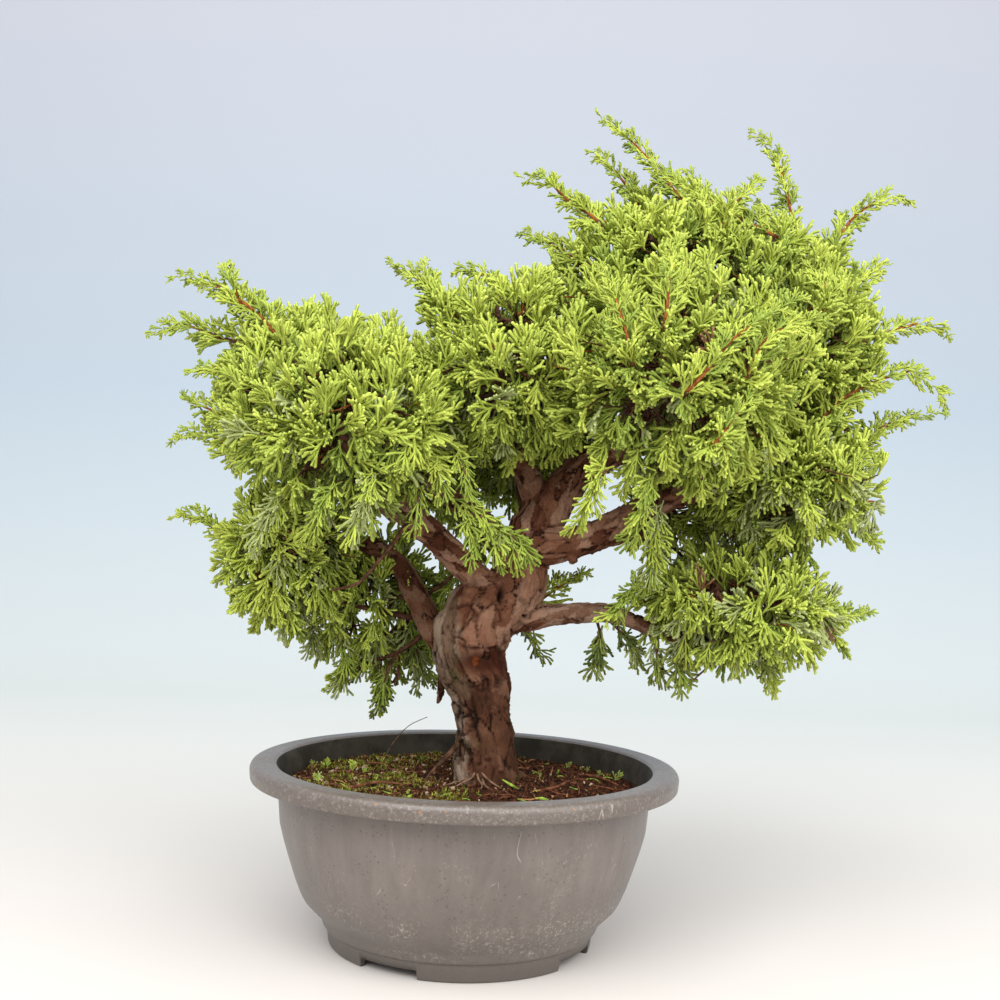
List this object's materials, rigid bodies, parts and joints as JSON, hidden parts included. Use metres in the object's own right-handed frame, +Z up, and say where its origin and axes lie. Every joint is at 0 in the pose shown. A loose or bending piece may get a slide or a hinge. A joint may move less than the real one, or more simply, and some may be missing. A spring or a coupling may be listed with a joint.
{
  "type": "potted juniper bonsai",
  "caption": "Juniper bonsai with a bent, flaking trunk, spreading boughs and loose masses of green sprays, in a round grey plastic training pot filled with soil.",
  "frame": {"origin": "middle of the bounding box at the level of the pot's feet", "axes": "+Z up; -Y towards the front of the tree; +X to the right seen from the front"},
  "size_m": [0.4502, 0.258, 0.4711],
  "materials": {
    "pot_plastic": "matte",
    "soil": "rough",
    "bark": "rough",
    "foliage": "matte"
  },
  "bodies": {
    "root": {"pot": "pot_plastic", "soil": "soil", "trunk": "bark", "bough_left": "bark", "bough_left_back": "bark", "bough_left_low": "bark", "bough_left_top": "bark", "bough_left_rear": "bark", "bough_top": "bark", "bough_centre": "bark", "bough_back": "bark", "bough_front": "bark", "bough_top_right": "bark", "bough_right_rear": "bark", "bough_right": "bark", "bough_right_low": "bark", "bough_right_under": "bark", "crown_left_front": "foliage", "crown_left_tip": "foliage", "crown_left_rear": "foliage", "crown_left_side": "foliage", "crown_left_low": "foliage", "crown_centre": "foliage", "crown_rear": "foliage", "crown_top": "foliage", "crown_front": "foliage", "crown_right": "foliage", "crown_right_rear": "foliage", "crown_right_mid": "foliage", "crown_right_low": "foliage", "crown_right_under": "foliage"}
  },
  "joints": []
}
